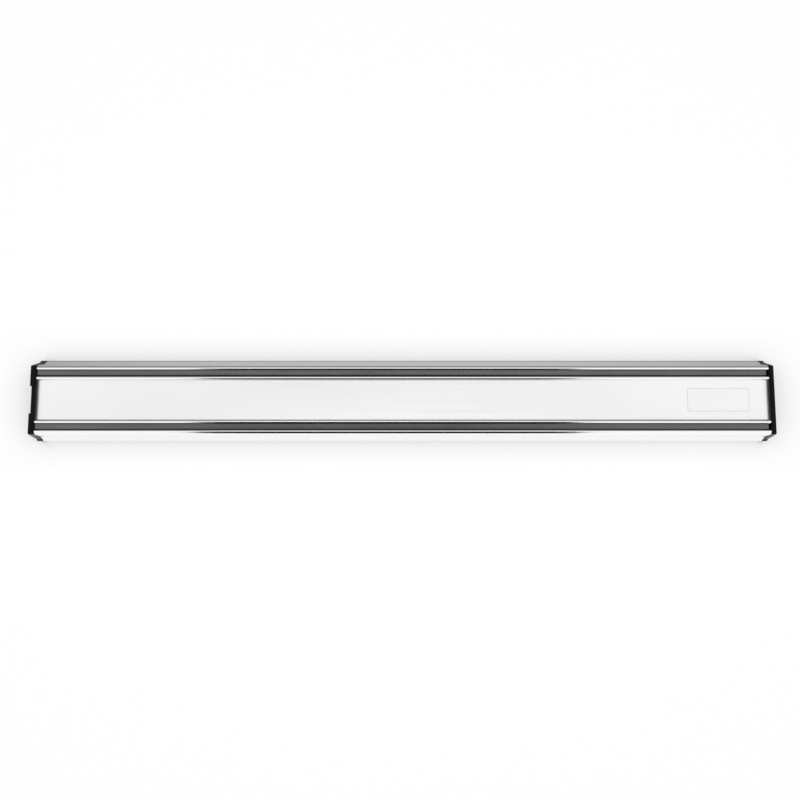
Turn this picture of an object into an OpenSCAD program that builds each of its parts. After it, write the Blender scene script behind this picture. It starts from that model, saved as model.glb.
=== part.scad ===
// Magnetic knife rack: an extruded aluminium bar that holds two steel pole rails, with a row
// of ferrite magnets between the rails and a beaded aluminium panel in front of the magnets.
// A black end cap closes each end, and two hidden brackets hold the bar on the wall.
// The wall is the plane y = 0, the knives hang on the side towards -Y, and +Z is up.
// Every section is drawn as [y, z] points and runs along X.

/* [Rack] */
// Overall length, over both end caps
rack_length = 450; // [300:10:600]
// Depth from the wall to the face that the knives touch
rack_depth = 16; // [16:0.5:20]

/* [Face of the rack] */
// Half height of the recessed panel between the rails
panel_half = 12; // [11.5:0.05:12.05]
// How far the panel lies behind the rounded lips
panel_recess = 1.9; // [1.2:0.1:2.2]
// Thickness of the panel
panel_thick = 1.3; // [1:0.1:1.6]
// Nearer edge of each rail groove, on the panel, from the middle of the rack
groove_near = 14.5; // [14.45:0.05:14.6]
// Further edge of each rail groove, on the bar, from the middle of the rack
groove_far = 18; // [17.9:0.05:18]
// Line along which the bar's lips stand out furthest, from the middle of the rack
front_half = 19.1; // [19.1:0.05:19.25]
// Radius of the panel's lips on the side of the panel
lip_panel_r = 1.2; // [0.8:0.05:1.25]
// Radius of the panel's lips on the side of the rails
lip_rail_r = 1.2; // [0.8:0.05:1.25]
// Radius of the bar's lips on the side of the rails
edge_rail_r = 1.05; // [0.6:0.05:1.05]
// Radius of the bar's lips on the side of the flanks
edge_flank_r = 2; // [0.6:0.05:2]

/* [Flanks and foot] */
// Distance from the wall to the line where the flank turns outward
kink_y = 8; // [7.5:0.1:8.5]
// Half height at that line
kink_half = 22.35; // [22:0.05:22.5]
// Distance from the wall to the front of the foot
foot_y = 4.7; // [4.4:0.1:5]
// Half height of the foot
foot_half = 24.9; // [24.7:0.05:24.9]
// Bevel along the foot's front edge
foot_bevel = 0.8; // [0.6:0.05:0.9]
// Thickness of the foot's outer leg
foot_leg = 1.5; // [1.2:0.1:2]

/* [Inside of the bar] */
// Half height of the chamber that holds the rails and magnets
chamber_half = 19; // [18.95:0.05:19.1]
// Distance from the wall to the back of the chamber
chamber_back_y = 4.4; // [4.3:0.1:4.6]
// Thickness of the web behind the chamber
web = 1.4; // [1.2:0.1:1.5]

/* [Pole rails] */
// Gap between the lower side of a rail's nose and its groove
gap_below = 0.4; // [0.05:0.05:0.5]
// Gap between the upper side of a rail's nose and its groove
gap_above = 0.05; // [0.05:0.05:0.3]
// Nearer side of a rail's shoulders, where the magnets touch it
shoulder_near = 13.9; // [13.8:0.05:14]
// Further side of a rail's shoulders
shoulder_far = 18.85; // [18.7:0.05:18.9]
// Gap between the rails and the left end cap
rail_gap_left = 0.6; // [0.4:0.1:2]
// Gap between the rails and the right end cap
rail_gap_right = 1.7; // [0.4:0.1:3]

/* [Magnets] */
// Length of one magnet block
magnet_length = 30; // [20:1:40]
// Thickness of the double-sided foam tape that bonds rails and magnets to the bar
tape_thick = 1.25; // [1:0.05:1.3]

/* [End caps] */
// Thickness of the left end cap, outside the bar
left_cap_thick = 3.7; // [3:0.1:5]
// Thickness of the right end cap, which has no notch
right_cap_thick = 3; // [2.4:0.1:5]
// Half height of an end cap at the wall
cap_half = 25; // [25:0.05:26]
// Half height of the flat front of a cap
cap_face_half = 19.95; // [19.8:0.05:20.3]
// Radius of a cap's front corners
cap_corner_r = 1; // [0.6:0.1:1]
// Length of the hollow plug that goes into the bar
plug_length = 10; // [8:0.5:12]
// Wall thickness of that plug
plug_wall = 1.6; // [1.2:0.1:2.5]
// Height of the finger notch in the left cap
notch_height = 16.5; // [10:0.5:24]
// Depth of the finger notch
notch_depth = 1; // [0.5:0.1:1.5]

/* [Wall brackets] */
// Distance between the two brackets' screws
bracket_spacing = 300; // [200:10:340]
// Length of one bracket
bracket_length = 40; // [30:1:60]
// Half height of the slot in the back that a bracket's pad fills
slot_half = 7.2; // [7:0.1:8]
// Half height of the channel that a bracket's flanges fill
channel_half = 11.5; // [11:0.1:12]
// Thickness of the channel's lips and walls
channel_wall = 1.3; // [1:0.05:1.35]
// Diameter of the hole for a wall screw
screw_hole_d = 4.2; // [3.5:0.1:4.5]
// Diameter of the seat for a countersunk screw head
screw_head_d = 8; // [7:0.1:9]

/* [Label] */
// Width of the blank foil label
label_w = 37.5; // [20:0.5:40]
// Height of the label
label_h = 14.4; // [8:0.1:16]
// Thickness of the label
label_thick = 0.12; // [0.1:0.01:0.2]
// Distance from the label's middle to the right end of the rack
label_from_end = 33.5; // [25:0.5:60]

/* [Hidden] */
$fn = 64;
eps = 0.01;
arc_steps = 8;
play = 0.1;
peg_play = 0.3;
peg_height = 4;
cap_kink_y = 5.8;
cap_kink_half = 23.6;
cap_foot_edge = 0.05;
beyond = 1;

face_y = -rack_depth;
panel_y = face_y + panel_recess;
chamber_y = panel_y + panel_thick;
back_y = -chamber_back_y;
channel_y = back_y + web;

// the bar runs from bar_left to bar_right
bar_left = left_cap_thick - rack_length / 2;
bar_right = rack_length / 2 - right_cap_thick;

// slope of a line that leaves an arc of radius r as its tangent and ends run behind and rise
// above the middle of that arc
function tangent_slope(run, rise, r) = atan2(rise, run) - asin(r / norm([run, rise]));

// slopes of the bar's flank and of a cap's flank, from the front corner's arc to the kink
flank_slope = tangent_slope(
    rack_depth - edge_flank_r - kink_y, kink_half - front_half, edge_flank_r);
cap_slope = tangent_slope(
    rack_depth - cap_corner_r - cap_kink_y, cap_kink_half - cap_face_half, cap_corner_r);

// the magnets fill the chamber from one cap's plug to the other's
magnet_room = bar_right - bar_left - 2 * plug_length;
magnet_count = floor(magnet_room / magnet_length);
magnets_length = magnet_count * magnet_length;

function two_digits(n) = n < 10 ? str("0", n) : str(n);
function magnet_name(n) = str("magnet_", two_digits(n));

MAGNETS = [for (n = [1:magnet_count]) magnet_name(n)];

// draws a [y, z] section along X, from x = from to x = to
module along_x(from, to) {
    translate([from, 0, 0]) rotate([90, 0, 90]) linear_extrude(to - from) children();
}

// the children, and their mirror image below the middle of the rack
module both_halves() {
    children();
    mirror([0, 1]) children();
}

// a [y, z] rectangle between two corners
module slab(y0, z0, y1, z1) {
    translate([y0, z0]) square([y1 - y0, z1 - z0]);
}

// points of an arc about [y, z]; 180 degrees is the front and 90 degrees is the top
function arc(y, z, r, from, to) = [
    for (i = [0:arc_steps])
        let (a = from + (to - from) * i / arc_steps)
        [y + r * cos(a), z + r * sin(a)]];

// closes an upper half outline with its mirror image below the middle of the rack
function with_mirror(half) = concat(
    half,
    [for (i = [len(half) - 1:-1:0]) [half[i][0], -half[i][1]]]);

// upper half of the bar: chamber, outer lip, flank, foot, back pocket and bracket channel
function bar_half() = concat(
    [[back_y, chamber_half], [chamber_y, chamber_half], [chamber_y, groove_far]],
    arc(face_y + edge_rail_r, groove_far + edge_rail_r, edge_rail_r, 270, 180),
    arc(face_y + edge_flank_r, front_half, edge_flank_r, 180, 90 + flank_slope),
    [[-kink_y, kink_half],
     [-foot_y, foot_half - foot_bevel],
     [-foot_y + foot_bevel, foot_half],
     [0, foot_half],
     [0, foot_half - foot_leg],
     [channel_y, foot_half - foot_leg],
     [channel_y, channel_half + channel_wall],
     [0, channel_half + channel_wall],
     [0, slot_half],
     [-channel_wall, slot_half],
     [-channel_wall, channel_half],
     [channel_y, channel_half]]);

// upper half of the panel: the flat, then the rounded lip beside the rail groove
function panel_upper_half() = concat(
    [[panel_y, panel_half]],
    arc(face_y + lip_panel_r, panel_half + lip_panel_r, lip_panel_r, 270, 180),
    arc(face_y + lip_rail_r, groove_near - lip_rail_r, lip_rail_r, 180, 90),
    [[chamber_y, groove_near]]);

// upper half of an end cap's outline, a little outside the bar's
function cap_upper_half() = concat(
    arc(face_y + cap_corner_r, cap_face_half, cap_corner_r, 180, 90 + cap_slope),
    [[-cap_kink_y, cap_kink_half],
     [-foot_y + foot_bevel, foot_half + cap_foot_edge],
     [0, cap_half]]);

module profile_body() {
    color("gainsboro") along_x(bar_left, bar_right) polygon(with_mirror(bar_half()));
}

// beaded strip between the rails, bonded to the magnets and resting on the rails' shoulders
module front_panel() {
    color("gainsboro") along_x(bar_left, bar_right) polygon(with_mirror(panel_upper_half()));
}

// shouldered steel bar between two heights of its groove: its nose stands in the groove, with
// its shoulders behind the lips, between two heights of the chamber
module rail(groove_low, groove_high, chamber_low, chamber_high) {
    color("dimgray")
        along_x(bar_left + rail_gap_left, bar_right - rail_gap_right) {
            slab(face_y, groove_low + gap_below, chamber_y + play, groove_high - gap_above);
            slab(chamber_y + play, chamber_low, back_y - tape_thick - eps, chamber_high);
        }
}

module upper_pole_rail() {
    rail(groove_near, groove_far, shoulder_near, shoulder_far);
}

module lower_pole_rail() {
    rail(-groove_far, -groove_near, -shoulder_far, -shoulder_near);
}

// one ferrite block of the row, magnetised from its lower face to its upper face
module magnet(n) {
    x0 = -magnets_length / 2 + (n - 1) * magnet_length;
    color([0.2, 0.2, 0.21])
        along_x(x0, x0 + magnet_length)
            slab(chamber_y + play, -shoulder_near, back_y - tape_thick - eps, shoulder_near);
}

// foam tape between the bar's web and the magnets and rails
module foam_tape() {
    color([0.3, 0.3, 0.28])
        along_x(-magnets_length / 2, magnets_length / 2)
            slab(back_y - tape_thick, -shoulder_far, back_y - eps, shoulder_far);
}

// hollow plug for the chamber, between the two rails
module plug_section() {
    z_plug = shoulder_near - peg_play;
    difference() {
        slab(chamber_y + play, -z_plug, back_y - play, z_plug);
        slab(chamber_y + play + plug_wall, plug_wall - z_plug,
            back_y - play - plug_wall, z_plug - plug_wall);
    }
}

// peg under the foot's outer leg
module peg_section() {
    z_peg = foot_half - foot_leg - peg_play;
    slab(channel_y + play, z_peg - peg_height, -peg_play, z_peg);
}

// end cap of the right-hand end
module end_cap(thick) {
    inner = rack_length / 2 - thick;
    along_x(inner, rack_length / 2) polygon(with_mirror(cap_upper_half()));
    along_x(inner - plug_length, inner + eps) plug_section();
    along_x(inner - plug_length, inner + eps) both_halves() peg_section();
}

module left_end_cap() {
    color([0.08, 0.08, 0.08])
        difference() {
            mirror([1, 0, 0]) end_cap(left_cap_thick);
            translate([-rack_length / 2 - beyond, face_y - beyond, -notch_height / 2])
                cube([notch_depth + beyond, rack_depth + 2 * beyond, notch_height]);
        }
}

module right_end_cap() {
    color([0.08, 0.08, 0.08]) end_cap(right_cap_thick);
}

// flanges behind the channel's lips, and a pad that stands on the wall
module bracket_section() {
    slab(channel_y + play, 2 * play - channel_half,
        -channel_wall - play, channel_half - 2 * play);
    slab(channel_y + play, 2 * play - slot_half, 0, slot_half - 2 * play);
}

module wall_bracket(x) {
    sink = (screw_head_d - screw_hole_d) / 2;
    color("silver")
        difference() {
            along_x(x - bracket_length / 2, x + bracket_length / 2) bracket_section();
            translate([x, channel_y - beyond, 0]) rotate([-90, 0, 0])
                cylinder(d = screw_hole_d, h = 2 * beyond - channel_y);
            // seat for the countersunk head, on the side away from the wall
            translate([x, channel_y + play - eps, 0]) rotate([-90, 0, 0])
                cylinder(d1 = screw_head_d, d2 = screw_hole_d, h = sink);
        }
}

module left_wall_bracket() {
    wall_bracket(-bracket_spacing / 2);
}

module right_wall_bracket() {
    wall_bracket(bracket_spacing / 2);
}

module label_plate() {
    color("white")
        translate([rack_length / 2 - label_from_end - label_w / 2,
            panel_y - label_thick, -label_h / 2])
            cube([label_w, label_thick, label_h]);
}

profile_body();
front_panel();
upper_pole_rail();
lower_pole_rail();
for (n = [1:magnet_count]) magnet(n);
foam_tape();
left_end_cap();
right_end_cap();
left_wall_bracket();
right_wall_bracket();
label_plate();
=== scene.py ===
import math

import bmesh
import bpy
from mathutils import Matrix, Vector


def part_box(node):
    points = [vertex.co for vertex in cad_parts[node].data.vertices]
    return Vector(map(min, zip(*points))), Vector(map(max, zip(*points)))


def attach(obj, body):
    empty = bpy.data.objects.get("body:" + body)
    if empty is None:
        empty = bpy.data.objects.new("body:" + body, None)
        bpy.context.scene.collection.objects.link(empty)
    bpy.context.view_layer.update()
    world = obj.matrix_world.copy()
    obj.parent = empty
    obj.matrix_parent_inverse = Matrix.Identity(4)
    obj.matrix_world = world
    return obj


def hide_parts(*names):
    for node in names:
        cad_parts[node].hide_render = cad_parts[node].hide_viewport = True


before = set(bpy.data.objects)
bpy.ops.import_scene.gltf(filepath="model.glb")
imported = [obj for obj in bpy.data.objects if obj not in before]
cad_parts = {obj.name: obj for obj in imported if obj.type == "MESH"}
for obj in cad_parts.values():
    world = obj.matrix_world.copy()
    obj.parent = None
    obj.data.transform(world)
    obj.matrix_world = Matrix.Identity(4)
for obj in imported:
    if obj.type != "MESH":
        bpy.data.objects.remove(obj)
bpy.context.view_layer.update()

# The rack's back is the plane y = 0, its face looks towards -Y, and it runs along X.
MM = 0.001
ARC_STEPS = 12

# ---------------------------------------------------------------- sizes, in metres

BAR_LOW, BAR_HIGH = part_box("profile_body")
PANEL_LOW, PANEL_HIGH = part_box("front_panel")
CAP_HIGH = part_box("right_end_cap")[1]
LABEL_LOW, LABEL_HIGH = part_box("label_plate")

# the face of the rack, front to back
FACE_Y = BAR_LOW.y
PANEL_Y = LABEL_HIGH.y
CHAMBER_Y = PANEL_HIGH.y
PLAY = 0.1 * MM
SHOULDER_Y = CHAMBER_Y + PLAY
KINK_Y = -8.0 * MM
CAP_KINK_Y = -5.8 * MM
FOOT_Y = -4.7 * MM
FOOT_BEVEL = 0.8 * MM
CHAMBER_BACK = -4.4 * MM
CHANNEL_Y = -3.0 * MM

# half heights, from the middle of the rack outward
SLOT_HALF = 7.2 * MM
CHANNEL_HALF = 11.5 * MM
PANEL_HALF = 12.0 * MM
GROOVE_NEAR = PANEL_HIGH.z
GROOVE_FAR = 18.0 * MM
CHAMBER_HALF = 19.0 * MM
LIP_HALF = 19.1 * MM
CAP_FACE_HALF = 19.95 * MM
KINK_HALF = 22.35 * MM
CAP_KINK_HALF = 23.6 * MM
BAR_HALF = BAR_HIGH.z

LIP_PANEL_R = 1.2 * MM
LIP_RAIL_R = 1.2 * MM
EDGE_RAIL_R = 1.05 * MM
EDGE_FLANK_R = 2.0 * MM
KINK_R = 0.6 * MM
FOOT_R = 0.3 * MM
CHAMBER_R = 0.3 * MM
BACK_R = 0.25 * MM
POCKET_R = 0.4 * MM
SLOT_R = 0.2 * MM
PANEL_R = 0.15 * MM
NOSE_R = 0.25 * MM
SHOULDER_R = 0.2 * MM
ROOT_R = 0.05 * MM
CAP_CORNER_R = 1.0 * MM
CAP_KINK_R = 1.5 * MM
CAP_BACK_R = 0.2 * MM
CAP_EDGE = 0.3 * MM
CAP_PAST_FOOT = 0.05 * MM
CHANNEL_WALL = 1.3 * MM
FOOT_LEG = 1.5 * MM
GAP_BELOW = 0.4 * MM
GAP_ABOVE = 0.05 * MM
NOTCH_HALF = 8.25 * MM
NOTCH_DEPTH = 1.0 * MM
PLUG_LENGTH = 10.0 * MM
PLUG_HALF = 13.6 * MM
PLUG_WALL = 1.6 * MM
PEG_HEIGHT = 4.0 * MM
PEG_PLAY = 0.3 * MM
PAD_PLAY = 0.2 * MM
SCREW_R = 2.1 * MM
HEAD_R = 4.0 * MM
SCREW_SIDES = 48
BRACKET_EDGE = 0.15 * MM
LABEL_BORDER = 0.6 * MM
LABEL_CORNER_R = 0.9 * MM
LABEL_STEP = 0.05 * MM
LABEL_EDGE = 0.03 * MM


# ---------------------------------------------------------------- outlines and meshes

def rounded(corners):
    """Outline from (y, z, radius) corners, each turned on an arc of its radius."""
    points = []
    count = len(corners)
    for i, (y, z, radius) in enumerate(corners):
        here = Vector((y, z))
        to_last = (Vector(corners[i - 1][:2]) - here).normalized()
        to_next = (Vector(corners[(i + 1) % count][:2]) - here).normalized()
        if radius == 0:
            points.append(here)
            continue
        half = to_last.angle(to_next) / 2
        start = here + to_last * radius / math.tan(half)
        centre = here + (to_last + to_next).normalized() * radius / math.sin(half)
        first = start - centre
        turn = math.pi - 2 * half
        side = 1 if to_last.x * to_next.y - to_last.y * to_next.x < 0 else -1
        steps = max(3, round(ARC_STEPS * turn / (math.pi / 2)))
        for step in range(steps + 1):
            angle = side * turn * step / steps
            cos, sin = math.cos(angle), math.sin(angle)
            arm = Vector((first.x * cos - first.y * sin, first.x * sin + first.y * cos))
            points.append(centre + arm)
    return points


def both_halves(upper):
    """Corners of the upper half, followed by their mirror image below."""
    return upper + [(y, -z, radius) for y, z, radius in reversed(upper)]


def shade(mesh, angle=30):
    """Smooth faces, with every edge sharper than the angle kept sharp."""
    bm = bmesh.new()
    bm.from_mesh(mesh)
    for face in bm.faces:
        face.smooth = True
    for edge in bm.edges:
        edge.smooth = edge.calc_face_angle(0) < math.radians(angle)
    bm.to_mesh(mesh)
    bm.free()


def new_object(name, bm):
    """An object in the scene from a bmesh, with its faces turned outward."""
    mesh = bpy.data.meshes.new(name)
    bmesh.ops.recalc_face_normals(bm, faces=bm.faces)
    bm.to_mesh(mesh)
    bm.free()
    obj = bpy.data.objects.new(name, mesh)
    bpy.context.scene.collection.objects.link(obj)
    return obj


def close_rings(bm, rings):
    """Joins each ring of vertices to the next one, and closes the first and the last ring."""
    count = len(rings[0])
    for ring, after in zip(rings, rings[1:]):
        for i in range(count):
            j = (i + 1) % count
            bm.faces.new((ring[i], ring[j], after[j], after[i]))
    bm.faces.new(rings[0])
    bm.faces.new(rings[-1])


def prism(name, outline, x0, x1):
    """Extrudes a (y, z) outline from x0 to x1."""
    bm = bmesh.new()
    close_rings(bm, [[bm.verts.new((x, p.x, p.y)) for p in outline] for x in (x0, x1)])
    return new_object(name, bm)


def block(low, high):
    """A plain cutter or core box between two corners, for booleans only."""
    outline = [Vector((low[1], low[2])), Vector((high[1], low[2])),
               Vector((high[1], high[2])), Vector((low[1], high[2]))]
    return prism("cutter", outline, low[0], high[0])


def apply_modifiers(obj):
    """Bakes an object's modifiers into its mesh."""
    depsgraph = bpy.context.evaluated_depsgraph_get()
    mesh = bpy.data.meshes.new_from_object(obj.evaluated_get(depsgraph))
    obj.modifiers.clear()
    obj.data = mesh


def combine(obj, other, operation):
    """Adds or cuts away another object, and deletes that other object."""
    modifier = obj.modifiers.new("combine", "BOOLEAN")
    modifier.operation = operation
    modifier.solver = "EXACT"
    modifier.object = other
    bpy.context.view_layer.update()
    apply_modifiers(obj)
    bpy.data.objects.remove(other)


def soften(obj, width, segments=3, angle=35):
    """Rounds the edges that are sharper than the angle."""
    modifier = obj.modifiers.new("soften", "BEVEL")
    modifier.width = width
    modifier.segments = segments
    modifier.limit_method = "ANGLE"
    modifier.angle_limit = math.radians(angle)
    modifier.use_clamp_overlap = True
    bpy.context.view_layer.update()
    apply_modifiers(obj)


# ---------------------------------------------------------------- materials

def new_material(name):
    """A material with its node tree, and the shader that its nodes feed."""
    mat = bpy.data.materials.new(name)
    mat.use_nodes = True
    return mat, mat.node_tree, mat.node_tree.nodes["Principled BSDF"]


def noise(tree, scale, stretch=(1, 1, 1), detail=3.0):
    """Noise over the object's own metres, stretched where a factor is under 1."""
    coords = tree.nodes.new("ShaderNodeTexCoord")
    mapping = tree.nodes.new("ShaderNodeMapping")
    mapping.inputs["Scale"].default_value = stretch
    texture = tree.nodes.new("ShaderNodeTexNoise")
    texture.inputs["Scale"].default_value = scale
    texture.inputs["Detail"].default_value = detail
    tree.links.new(coords.outputs["Object"], mapping.inputs["Vector"])
    tree.links.new(mapping.outputs["Vector"], texture.inputs["Vector"])
    return texture.outputs["Fac"]


def spread(tree, value, low, high):
    """Turns noise, most of which lies between 0.3 and 0.7, into a value from low to high."""
    node = tree.nodes.new("ShaderNodeMapRange")
    node.inputs["From Min"].default_value = 0.3
    node.inputs["From Max"].default_value = 0.7
    node.inputs["To Min"].default_value = low
    node.inputs["To Max"].default_value = high
    tree.links.new(value, node.inputs["Value"])
    return node.outputs["Result"]


def grey(value):
    return value, value, value


def tint(tree, value, dark, light):
    """Turns noise, most of which lies between 0.3 and 0.7, into a colour from dark to light."""
    ramp = tree.nodes.new("ShaderNodeValToRGB")
    ramp.color_ramp.elements[0].position = 0.3
    ramp.color_ramp.elements[1].position = 0.7
    ramp.color_ramp.elements[0].color = (*dark, 1)
    ramp.color_ramp.elements[1].color = (*light, 1)
    tree.links.new(value, ramp.inputs["Fac"])
    return ramp.outputs["Color"]


def bump(tree, value, strength, distance):
    """A normal that follows a value as its height."""
    node = tree.nodes.new("ShaderNodeBump")
    node.inputs["Strength"].default_value = strength
    node.inputs["Distance"].default_value = distance
    tree.links.new(value, node.inputs["Height"])
    return node.outputs["Normal"]


def aluminium():
    """Satin anodised aluminium with the fine lines of its extrusion along X, polished on its lips."""
    mat, tree, shader = new_material("anodised_aluminium")
    lines = noise(tree, 3500, (0.004, 1, 1), 2.0)
    clouds = noise(tree, 18, (0.5, 1, 1))
    shader.inputs["Metallic"].default_value = 1.0
    tree.links.new(tint(tree, clouds, grey(0.88), grey(0.92)), shader.inputs["Base Color"])
    satin = spread(tree, lines, 0.31, 0.37)
    polished = spread(tree, lines, 0.10, 0.14)
    coords = tree.nodes.new("ShaderNodeTexCoord")
    axes = tree.nodes.new("ShaderNodeSeparateXYZ")
    lip = tree.nodes.new("ShaderNodeMapRange")
    lip.inputs["From Min"].default_value = PANEL_Y - 0.1 * MM
    lip.inputs["From Max"].default_value = PANEL_Y - 0.5 * MM
    mix = tree.nodes.new("ShaderNodeMix")
    tree.links.new(coords.outputs["Object"], axes.inputs["Vector"])
    tree.links.new(axes.outputs["Y"], lip.inputs["Value"])
    tree.links.new(lip.outputs["Result"], mix.inputs["Factor"])
    tree.links.new(satin, mix.inputs["A"])
    tree.links.new(polished, mix.inputs["B"])
    tree.links.new(mix.outputs["Result"], shader.inputs["Roughness"])
    tree.links.new(bump(tree, lines, 0.08, 0.00002), shader.inputs["Normal"])
    return mat


def pole_steel():
    """Dark ground steel with draw lines along X."""
    mat, tree, shader = new_material("pole_steel")
    lines = noise(tree, 2500, (0.01, 1, 1), 3.0)
    patches = noise(tree, 60, (0.3, 1, 1), 4.0)
    shader.inputs["Metallic"].default_value = 1.0
    tree.links.new(tint(tree, patches, grey(0.13), grey(0.17)), shader.inputs["Base Color"])
    tree.links.new(spread(tree, lines, 0.35, 0.5), shader.inputs["Roughness"])
    tree.links.new(bump(tree, lines, 0.15, 0.00003), shader.inputs["Normal"])
    return mat


def black_plastic():
    """Black moulded plastic with a fine spark texture."""
    mat, tree, shader = new_material("black_plastic")
    grain = noise(tree, 2200, detail=2.0)
    patches = noise(tree, 90, detail=4.0)
    tree.links.new(tint(tree, patches, grey(0.002), grey(0.004)), shader.inputs["Base Color"])
    tree.links.new(spread(tree, patches, 0.28, 0.36), shader.inputs["Roughness"])
    shader.inputs["Specular Tint"].default_value = (*grey(0.12), 1)
    tree.links.new(bump(tree, grain, 0.2, 0.00003), shader.inputs["Normal"])
    return mat


def ferrite():
    """Sintered ferrite: dark, dusty and slightly pitted."""
    mat, tree, shader = new_material("ferrite")
    pits = noise(tree, 900, detail=5.0)
    colour = tint(tree, pits, (0.03, 0.03, 0.032), (0.075, 0.075, 0.078))
    tree.links.new(colour, shader.inputs["Base Color"])
    tree.links.new(spread(tree, pits, 0.6, 0.8), shader.inputs["Roughness"])
    tree.links.new(bump(tree, pits, 0.4, 0.0001), shader.inputs["Normal"])
    return mat


def foam():
    """Pale closed-cell foam."""
    mat, tree, shader = new_material("foam")
    cells = noise(tree, 1500, detail=1.0)
    colour = tint(tree, cells, (0.62, 0.61, 0.58), (0.78, 0.77, 0.74))
    tree.links.new(colour, shader.inputs["Base Color"])
    tree.links.new(spread(tree, cells, 0.8, 0.95), shader.inputs["Roughness"])
    tree.links.new(bump(tree, cells, 0.5, 0.0002), shader.inputs["Normal"])
    return mat


def zinc():
    """Zinc plating, with its faint spangle."""
    mat, tree, shader = new_material("zinc_plated_steel")
    spangle = noise(tree, 400, detail=3.0)
    shader.inputs["Metallic"].default_value = 1.0
    colour = tint(tree, spangle, (0.55, 0.56, 0.58), (0.7, 0.71, 0.72))
    tree.links.new(colour, shader.inputs["Base Color"])
    tree.links.new(spread(tree, spangle, 0.3, 0.45), shader.inputs["Roughness"])
    return mat


def label_border(tree, width):
    """1 on the label's outermost strip of that width, and 0 inside it."""
    middle, half = (LABEL_LOW + LABEL_HIGH) / 2, (LABEL_HIGH - LABEL_LOW) / 2
    coords = tree.nodes.new("ShaderNodeTexCoord")
    from_middle = tree.nodes.new("ShaderNodeVectorMath")
    from_middle.operation = "SUBTRACT"
    from_middle.inputs[1].default_value = middle
    size = tree.nodes.new("ShaderNodeVectorMath")
    size.operation = "ABSOLUTE"
    past = tree.nodes.new("ShaderNodeVectorMath")
    past.operation = "SUBTRACT"
    past.inputs[1].default_value = (half.x - width, 0, half.z - width)
    axes = tree.nodes.new("ShaderNodeSeparateXYZ")
    furthest = tree.nodes.new("ShaderNodeMath")
    furthest.operation = "MAXIMUM"
    strip = tree.nodes.new("ShaderNodeMath")
    strip.operation = "GREATER_THAN"
    strip.inputs[1].default_value = 0
    tree.links.new(coords.outputs["Object"], from_middle.inputs[0])
    tree.links.new(from_middle.outputs["Vector"], size.inputs[0])
    tree.links.new(size.outputs["Vector"], past.inputs[0])
    tree.links.new(past.outputs["Vector"], axes.inputs["Vector"])
    tree.links.new(axes.outputs["X"], furthest.inputs[0])
    tree.links.new(axes.outputs["Z"], furthest.inputs[1])
    tree.links.new(furthest.outputs["Value"], strip.inputs[0])
    return strip.outputs["Value"]


def label_foil():
    """Blank satin foil with a thin grey border."""
    mat, tree, shader = new_material("label_foil")
    fibres = noise(tree, 1200, (0.2, 1, 1), 3.0)
    shader.inputs["Metallic"].default_value = 0.85
    foil = tint(tree, fibres, grey(0.83), grey(0.88))
    mix = tree.nodes.new("ShaderNodeMix")
    mix.data_type = "RGBA"
    mix.inputs["B"].default_value = (*grey(0.75), 1)
    tree.links.new(label_border(tree, LABEL_BORDER), mix.inputs["Factor"])
    tree.links.new(foil, mix.inputs["A"])
    tree.links.new(mix.outputs["Result"], shader.inputs["Base Color"])
    tree.links.new(spread(tree, fibres, 0.3, 0.4), shader.inputs["Roughness"])
    return mat


MATERIALS = {
    "anodised_aluminium": aluminium(),
    "pole_steel": pole_steel(),
    "black_plastic": black_plastic(),
    "ferrite": ferrite(),
    "foam": foam(),
    "zinc_plated_steel": zinc(),
    "label_foil": label_foil(),
}


def finish_piece(obj, node, slot):
    """Gives a piece its shading and material, and puts it in the place of its CAD node."""
    shade(obj.data)
    obj.data.materials.clear()
    obj.data.materials.append(MATERIALS[slot])
    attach(obj, "root")
    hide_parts(node)


# ---------------------------------------------------------------- the pieces

def corner_z(half, radius, end_y, end_half):
    """Height of the sharp corner whose arc leaves the face at half and meets a straight flank."""
    run, rise = end_y - FACE_Y - radius, end_half - half
    slope = math.atan2(rise, run) - math.asin(radius / math.hypot(run, rise))
    return half + radius * math.tan((math.pi / 2 - slope) / 2)


def make_bar():
    """The extruded bar: chamber, lips, flanks, foot, back pockets and bracket channel."""
    corners = both_halves([
        (CHAMBER_BACK, CHAMBER_HALF, CHAMBER_R),
        (CHAMBER_Y, CHAMBER_HALF, 0),
        (CHAMBER_Y, GROOVE_FAR, 0),
        (FACE_Y, GROOVE_FAR, EDGE_RAIL_R),
        (FACE_Y, corner_z(LIP_HALF, EDGE_FLANK_R, KINK_Y, KINK_HALF), EDGE_FLANK_R),
        (KINK_Y, KINK_HALF, KINK_R),
        (FOOT_Y, BAR_HALF - FOOT_BEVEL, FOOT_R),
        (FOOT_Y + FOOT_BEVEL, BAR_HALF, FOOT_R),
        (0, BAR_HALF, BACK_R),
        (0, BAR_HALF - FOOT_LEG, BACK_R),
        (CHANNEL_Y, BAR_HALF - FOOT_LEG, POCKET_R),
        (CHANNEL_Y, CHANNEL_HALF + CHANNEL_WALL, POCKET_R),
        (0, CHANNEL_HALF + CHANNEL_WALL, BACK_R),
        (0, SLOT_HALF, BACK_R),
        (-CHANNEL_WALL, SLOT_HALF, SLOT_R),
        (-CHANNEL_WALL, CHANNEL_HALF, SLOT_R),
        (CHANNEL_Y, CHANNEL_HALF, SLOT_R)])
    bar = prism("bar", rounded(corners), BAR_LOW.x, BAR_HIGH.x)
    finish_piece(bar, "profile_body", "anodised_aluminium")


def make_panel():
    """The recessed panel with its two rounded lips."""
    corners = both_halves([
        (PANEL_Y, PANEL_HALF, PANEL_R),
        (FACE_Y, PANEL_HALF, LIP_PANEL_R),
        (FACE_Y, GROOVE_NEAR, LIP_RAIL_R),
        (CHAMBER_Y, GROOVE_NEAR, 0)])
    panel = prism("panel", rounded(corners), PANEL_LOW.x, PANEL_HIGH.x)
    finish_piece(panel, "front_panel", "anodised_aluminium")


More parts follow.
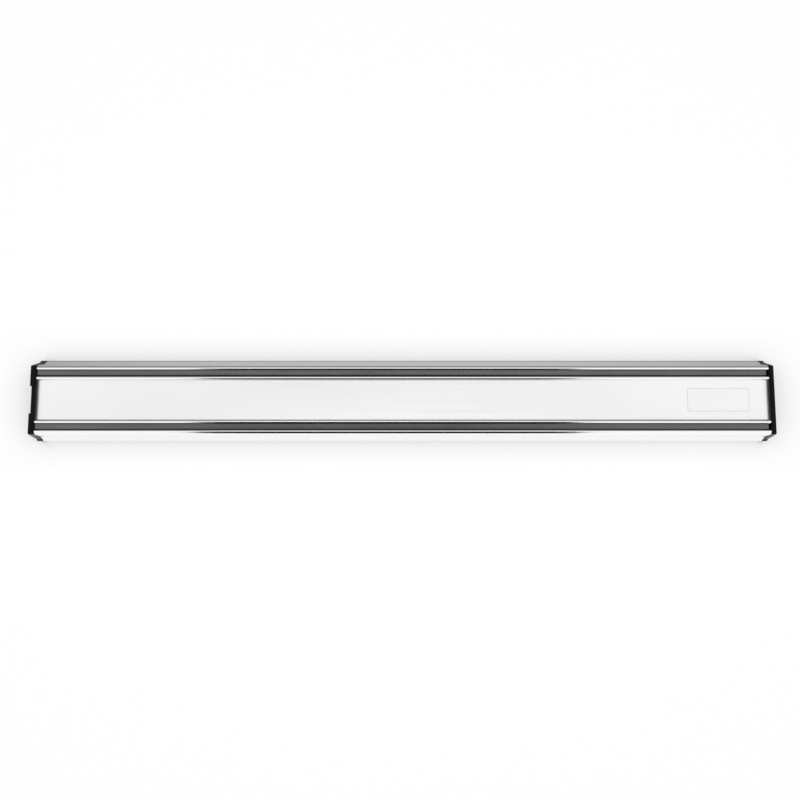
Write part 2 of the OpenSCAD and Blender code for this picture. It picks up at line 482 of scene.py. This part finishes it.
def make_rail(name, node, groove_low, groove_high):
    """A shouldered pole rail, with its nose between two heights of its groove."""
    low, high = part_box(node)
    nose_low, nose_high = groove_low + GAP_BELOW, groove_high - GAP_ABOVE
    corners = [
        (low.y, nose_low, NOSE_R),
        (low.y, nose_high, NOSE_R),
        (SHOULDER_Y, nose_high, ROOT_R),
        (SHOULDER_Y, high.z, SHOULDER_R),
        (high.y, high.z, SHOULDER_R),
        (high.y, low.z, SHOULDER_R),
        (SHOULDER_Y, low.z, SHOULDER_R),
        (SHOULDER_Y, nose_low, ROOT_R)]
    rail = prism(name, rounded(corners), low.x, high.x)
    finish_piece(rail, node, "pole_steel")


def cap_outline():
    """The outline of a cap, which is nearly straight from its front corner to the wall."""
    corner = corner_z(CAP_FACE_HALF, CAP_CORNER_R, CAP_KINK_Y, CAP_KINK_HALF)
    return rounded(both_halves([
        (FACE_Y, corner, CAP_CORNER_R),
        (CAP_KINK_Y, CAP_KINK_HALF, CAP_KINK_R),
        (FOOT_Y + FOOT_BEVEL, BAR_HALF + CAP_PAST_FOOT, FOOT_R),
        (0, CAP_HIGH.z, CAP_BACK_R)]))


def add_plug(cap, inner, outer):
    """The hollow plug and the two pegs of a cap, from x = inner out to x = outer."""
    low_z, high_z = -PLUG_HALF, PLUG_HALF
    low_y, high_y = SHOULDER_Y, CHAMBER_BACK - PLAY
    plug = block((inner, low_y, low_z), (outer, high_y, high_z))
    reach = (outer - inner) / abs(outer - inner) * MM
    hollow = block((inner - reach, low_y + PLUG_WALL, low_z + PLUG_WALL),
                   (outer - reach, high_y - PLUG_WALL, high_z - PLUG_WALL))
    combine(plug, hollow, "DIFFERENCE")
    combine(cap, plug, "UNION")
    peg_top = BAR_HALF - FOOT_LEG - PEG_PLAY
    peg_foot = peg_top - PEG_HEIGHT
    for low, high in ((peg_foot, peg_top), (-peg_top, -peg_foot)):
        peg = block((inner, CHANNEL_Y + PLAY, low), (outer, -PEG_PLAY, high))
        combine(cap, peg, "UNION")


def make_cap(name, node, side):
    """An end cap; side is 1 for the right one and -1 for the left one, which has a finger notch."""
    outer = side * CAP_HIGH.x
    inner = BAR_HIGH.x if side > 0 else BAR_LOW.x
    cap = prism(name, cap_outline(), inner, outer)
    if side < 0:
        notch = block((outer - MM, FACE_Y - MM, -NOTCH_HALF),
                      (outer + NOTCH_DEPTH, MM, NOTCH_HALF))
        combine(cap, notch, "DIFFERENCE")
    add_plug(cap, inner - side * PLUG_LENGTH, inner + side * MM)
    soften(cap, CAP_EDGE)
    finish_piece(cap, node, "black_plastic")


def make_bracket(name, node):
    """A wall bracket with a countersunk hole."""
    low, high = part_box(node)
    middle = (low.x + high.x) / 2
    pad = SLOT_HALF - PAD_PLAY
    corners = both_halves([
        (0, pad, BACK_R),
        (-CHANNEL_WALL - PLAY, pad, ROOT_R),
        (-CHANNEL_WALL - PLAY, high.z, BACK_R),
        (low.y, high.z, BACK_R)])
    bracket = prism(name, rounded(corners), low.x, high.x)
    bm = bmesh.new()
    stations = ((low.y - MM, HEAD_R + MM), (low.y + HEAD_R - SCREW_R, SCREW_R), (MM, SCREW_R))
    angles = [2 * math.pi * i / SCREW_SIDES for i in range(SCREW_SIDES)]
    close_rings(bm, [[bm.verts.new((middle + radius * math.cos(a), y, radius * math.sin(a)))
                      for a in angles] for y, radius in stations])
    combine(bracket, new_object("cutter", bm), "DIFFERENCE")
    soften(bracket, BRACKET_EDGE, segments=2)
    finish_piece(bracket, node, "zinc_plated_steel")


def make_label():
    """The blank foil label: round corners and a raised border."""
    low, high = LABEL_LOW, LABEL_HIGH
    bm = bmesh.new()

    def ring(inset, y):
        radius = max(LABEL_CORNER_R - inset, 0.1 * MM)
        right, left = high.x - inset - radius, low.x + inset + radius
        top, bottom = high.z - inset - radius, low.z + inset + radius
        points = []
        for x, z, start in ((right, top, 0), (left, top, 90), (left, bottom, 180), (right, bottom, 270)):
            for step in range(ARC_STEPS + 1):
                a = math.radians(start + 90 * step / ARC_STEPS)
                points.append(bm.verts.new((x + radius * math.cos(a), y, z + radius * math.sin(a))))
        return points

    close_rings(bm, [
        ring(0, high.y),
        ring(0, low.y + LABEL_EDGE),
        ring(LABEL_EDGE, low.y),
        ring(LABEL_BORDER, low.y),
        ring(LABEL_BORDER + LABEL_STEP, low.y + LABEL_STEP)])
    finish_piece(new_object("label", bm), "label_plate", "label_foil")


def dress_cad_nodes():
    """Materials for the hidden CAD pieces that are kept as they are."""
    for node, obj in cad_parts.items():
        if node.startswith("magnet_") or node == "foam_tape":
            slot = "foam" if node == "foam_tape" else "ferrite"
            obj.data.materials.clear()
            obj.data.materials.append(MATERIALS[slot])


make_bar()
make_panel()
make_rail("upper_rail", "upper_pole_rail", GROOVE_NEAR, GROOVE_FAR)
make_rail("lower_rail", "lower_pole_rail", -GROOVE_FAR, -GROOVE_NEAR)
make_cap("left_cap", "left_end_cap", -1)
make_cap("right_cap", "right_end_cap", 1)
make_bracket("left_bracket", "left_wall_bracket")
make_bracket("right_bracket", "right_wall_bracket")
make_label()
dress_cad_nodes()


# ---------------------------------------------------------------- stage, light and camera

def stage_material(name, colour):
    """Matt paper that is seen from the front only, so that the rack's back can be looked at."""
    mat, tree, shader = new_material(name)
    shader.inputs["Base Color"].default_value = (*colour, 1)
    shader.inputs["Roughness"].default_value = 1.0
    shader.inputs["Specular IOR Level"].default_value = 0.0
    clear = tree.nodes.new("ShaderNodeBsdfTransparent")
    side = tree.nodes.new("ShaderNodeNewGeometry")
    mix = tree.nodes.new("ShaderNodeMixShader")
    tree.links.new(side.outputs["Backfacing"], mix.inputs["Fac"])
    tree.links.new(shader.outputs["BSDF"], mix.inputs[1])
    tree.links.new(clear.outputs["BSDF"], mix.inputs[2])
    tree.links.new(mix.outputs["Shader"], tree.nodes["Material Output"].inputs["Surface"])
    return mat


def make_backdrop():
    """The pale flat wall that the rack hangs on."""
    width, height, wall_y = 1.6, 0.9, 0.0004
    bm = bmesh.new()
    corners = ((-width, -height), (width, -height), (width, height), (-width, height))
    bm.faces.new([bm.verts.new((x, wall_y, z)) for x, z in corners])
    mesh = bpy.data.meshes.new("backdrop")
    bm.to_mesh(mesh)
    bm.free()
    backdrop = bpy.data.objects.new("backdrop", mesh)
    bpy.context.scene.collection.objects.link(backdrop)
    mesh.materials.append(stage_material("backdrop_paper", (0.95, 0.95, 0.95)))
    backdrop.visible_shadow = False
    backdrop.visible_glossy = False
    backdrop.visible_diffuse = False


def make_card(name, corners, brightness):
    """A card that only reflections see: a softbox where it is bright, a flag where it is dark."""
    bm = bmesh.new()
    bm.faces.new([bm.verts.new(corner) for corner in corners])
    mesh = bpy.data.meshes.new(name)
    bm.to_mesh(mesh)
    bm.free()
    card = bpy.data.objects.new(name, mesh)
    bpy.context.scene.collection.objects.link(card)
    mat = bpy.data.materials.new(name)
    mat.use_nodes = True
    tree = mat.node_tree
    tree.nodes.clear()
    glow = tree.nodes.new("ShaderNodeEmission")
    glow.inputs["Strength"].default_value = brightness
    output = tree.nodes.new("ShaderNodeOutputMaterial")
    tree.links.new(glow.outputs["Emission"], output.inputs["Surface"])
    mesh.materials.append(mat)
    card.visible_camera = False
    card.visible_diffuse = False
    card.visible_shadow = False


def make_world(bright, low, dim, glow, fill, paper):
    """The backdrop's own tone for the camera, a faint fill for what is matt, and for reflections
    a room: bright at eye level, a little less so below, dim above, and with a glow high behind."""
    world = bpy.data.worlds.new("soft_light")
    bpy.context.scene.world = world
    world.use_nodes = True
    tree = world.node_tree
    coords = tree.nodes.new("ShaderNodeTexCoord")
    axes = tree.nodes.new("ShaderNodeSeparateXYZ")
    steep = math.radians(50)
    dot = tree.nodes.new("ShaderNodeVectorMath")
    dot.operation = "DOT_PRODUCT"
    dot.inputs[1].default_value = (0, math.cos(steep), math.sin(steep))
    fade = tree.nodes.new("ShaderNodeMapRange")
    fade.interpolation_type = "SMOOTHSTEP"
    fade.inputs["From Min"].default_value = 0.15
    fade.inputs["From Max"].default_value = 0.5
    fade.inputs["To Max"].default_value = dim
    below = tree.nodes.new("ShaderNodeMapRange")
    below.inputs["From Min"].default_value = -0.5
    below.inputs["From Max"].default_value = 0
    below.inputs["To Min"].default_value = low
    below.inputs["To Max"].default_value = bright
    high = tree.nodes.new("ShaderNodeMapRange")
    high.inputs["From Min"].default_value = 0.80
    high.inputs["From Max"].default_value = 0.96
    high.inputs["To Max"].default_value = glow
    both = tree.nodes.new("ShaderNodeMath")
    ray = tree.nodes.new("ShaderNodeLightPath")
    glossy = tree.nodes.new("ShaderNodeMix")
    glossy.inputs["A"].default_value = fill
    seen = tree.nodes.new("ShaderNodeMix")
    seen.inputs["B"].default_value = paper
    tree.links.new(coords.outputs["Generated"], dot.inputs[0])
    tree.links.new(coords.outputs["Generated"], axes.inputs["Vector"])
    tree.links.new(axes.outputs["Z"], below.inputs["Value"])
    tree.links.new(axes.outputs["Z"], fade.inputs["Value"])
    tree.links.new(below.outputs["Result"], fade.inputs["To Min"])
    tree.links.new(ray.outputs["Is Glossy Ray"], glossy.inputs["Factor"])
    tree.links.new(dot.outputs["Value"], high.inputs["Value"])
    tree.links.new(fade.outputs["Result"], both.inputs[0])
    tree.links.new(high.outputs["Result"], both.inputs[1])
    tree.links.new(both.outputs["Value"], glossy.inputs["B"])
    tree.links.new(ray.outputs["Is Camera Ray"], seen.inputs["Factor"])
    tree.links.new(glossy.outputs["Result"], seen.inputs["A"])
    background = tree.nodes["Background"]
    tree.links.new(seen.outputs["Result"], background.inputs["Strength"])
    background.inputs["Color"].default_value = (1, 1, 1, 1)


def make_front_light(distance, width, height, power):
    """A large softbox in front, which lights what is matt and leaves reflections alone."""
    data = bpy.data.lights.new("front_light", "AREA")
    data.shape = "RECTANGLE"
    data.size, data.size_y = width, height
    data.energy = power
    light = bpy.data.objects.new("front_light", data)
    bpy.context.scene.collection.objects.link(light)
    light.location = (0, -distance, 0)
    light.rotation_euler = (math.radians(90), 0, 0)
    light.visible_camera = False
    light.visible_glossy = False


def make_camera():
    """In front of the rack, a little below it, looking slightly up."""
    data = bpy.data.cameras.new("camera")
    camera = bpy.data.objects.new("camera", data)
    bpy.context.scene.collection.objects.link(camera)
    bpy.context.scene.camera = camera
    data.sensor_width = 36
    data.lens = 31.65
    data.shift_y = -0.0353
    data.clip_start, data.clip_end = 0.01, 20
    camera.location = (-0.0013, -0.440, -0.0240)
    camera.rotation_euler = (math.radians(90 + 5.51), 0, 0)


make_camera()
make_backdrop()
make_card("dark_flag", ((-0.235, -0.45, -0.03), (0.205, -0.45, -0.03),
                        (0.205, -0.16, -0.45), (-0.235, -0.16, -0.45)), 0.02)
make_card("bright_card", ((-0.235, -0.45, 0.03), (-0.235, -0.45, 0.15),
                          (0.205, -0.45, 0.15), (0.205, -0.45, 0.03)), 1.70)
make_world(bright=1.11, low=1.05, dim=0.31, glow=0.30, fill=0.02, paper=0.95)
make_front_light(distance=1.0, width=4.5, height=3.6, power=63.5)
bpy.context.scene.view_settings.view_transform = "Standard"

bpy.context.view_layer.update()
